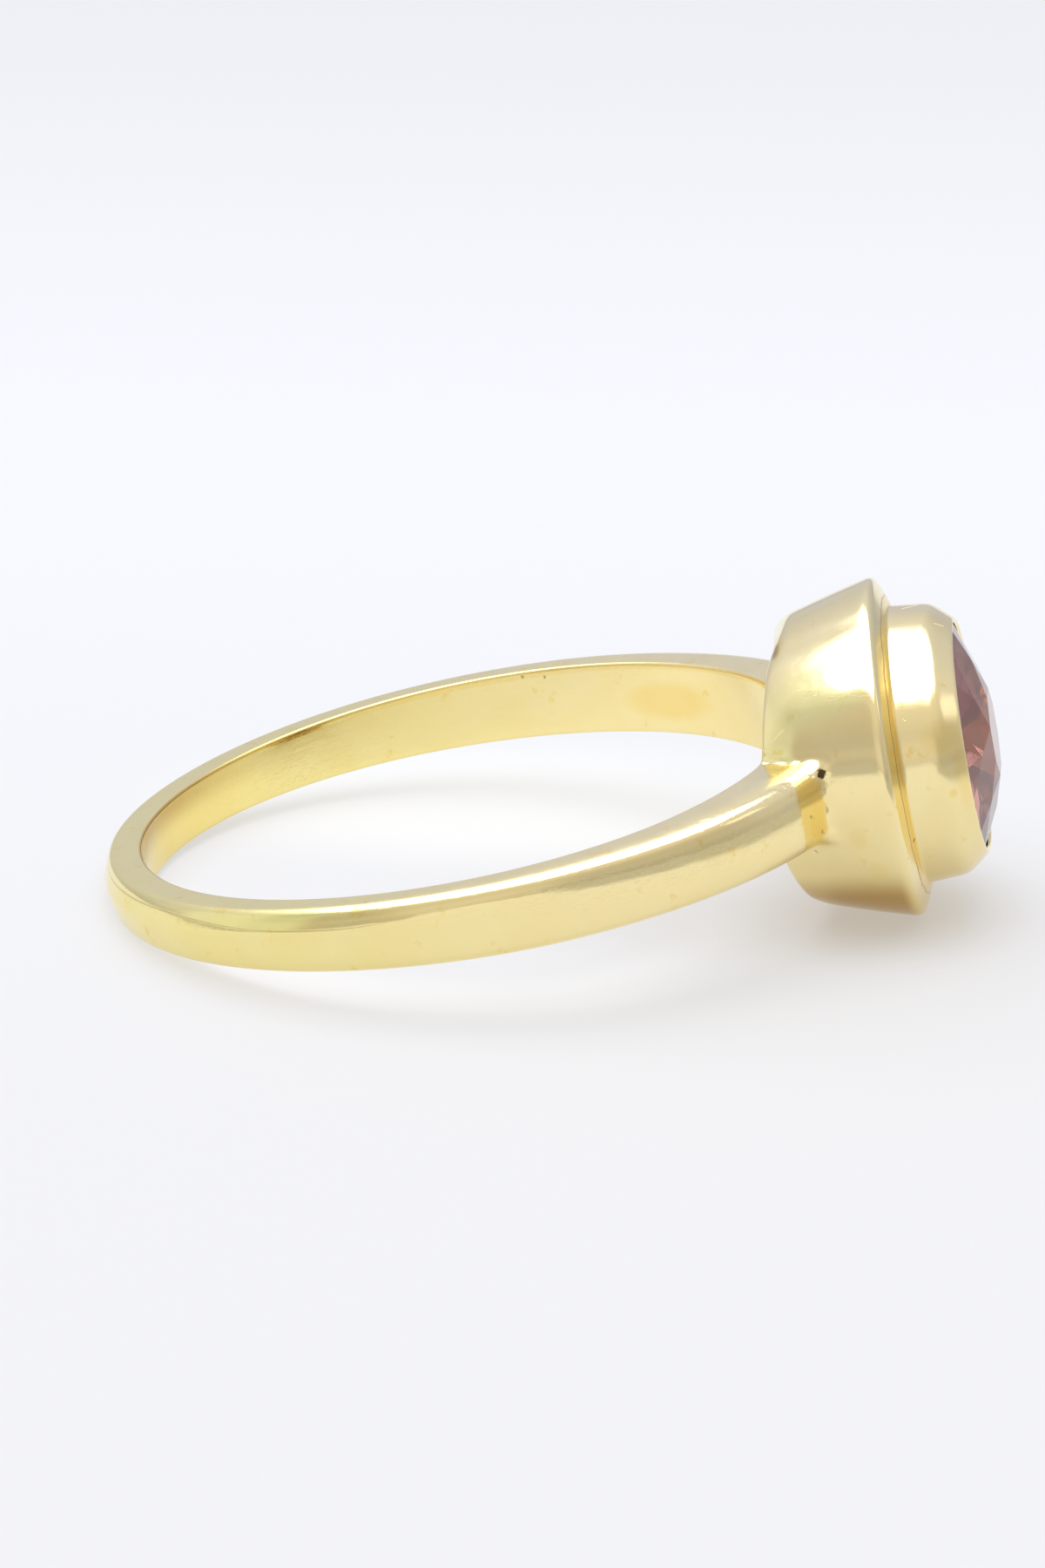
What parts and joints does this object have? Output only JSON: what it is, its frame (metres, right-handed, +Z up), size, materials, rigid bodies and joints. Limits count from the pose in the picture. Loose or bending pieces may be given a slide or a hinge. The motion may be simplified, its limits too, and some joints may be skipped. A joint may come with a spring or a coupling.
{
  "type": "bezel set ring",
  "caption": "Finger ring lying on its side: a slim band that swells into a flared cup, with a round faceted stone held under a folded bezel.",
  "frame": {"origin": "On the table under the middle of the ring's length and width, as it rests on the rim of its cup and the back of its band", "axes": "+X from the back of the band towards the stone, +Y across the finger hole, +Z up from the table"},
  "size_m": [0.023, 0.019, 0.0086],
  "materials": {
    "gold": "polished, with fine brush marks and light wear",
    "stone": "polished facets"
  },
  "bodies": {
    "root": {"ring_mount": "gold", "stone": "stone"}
  },
  "joints": []
}
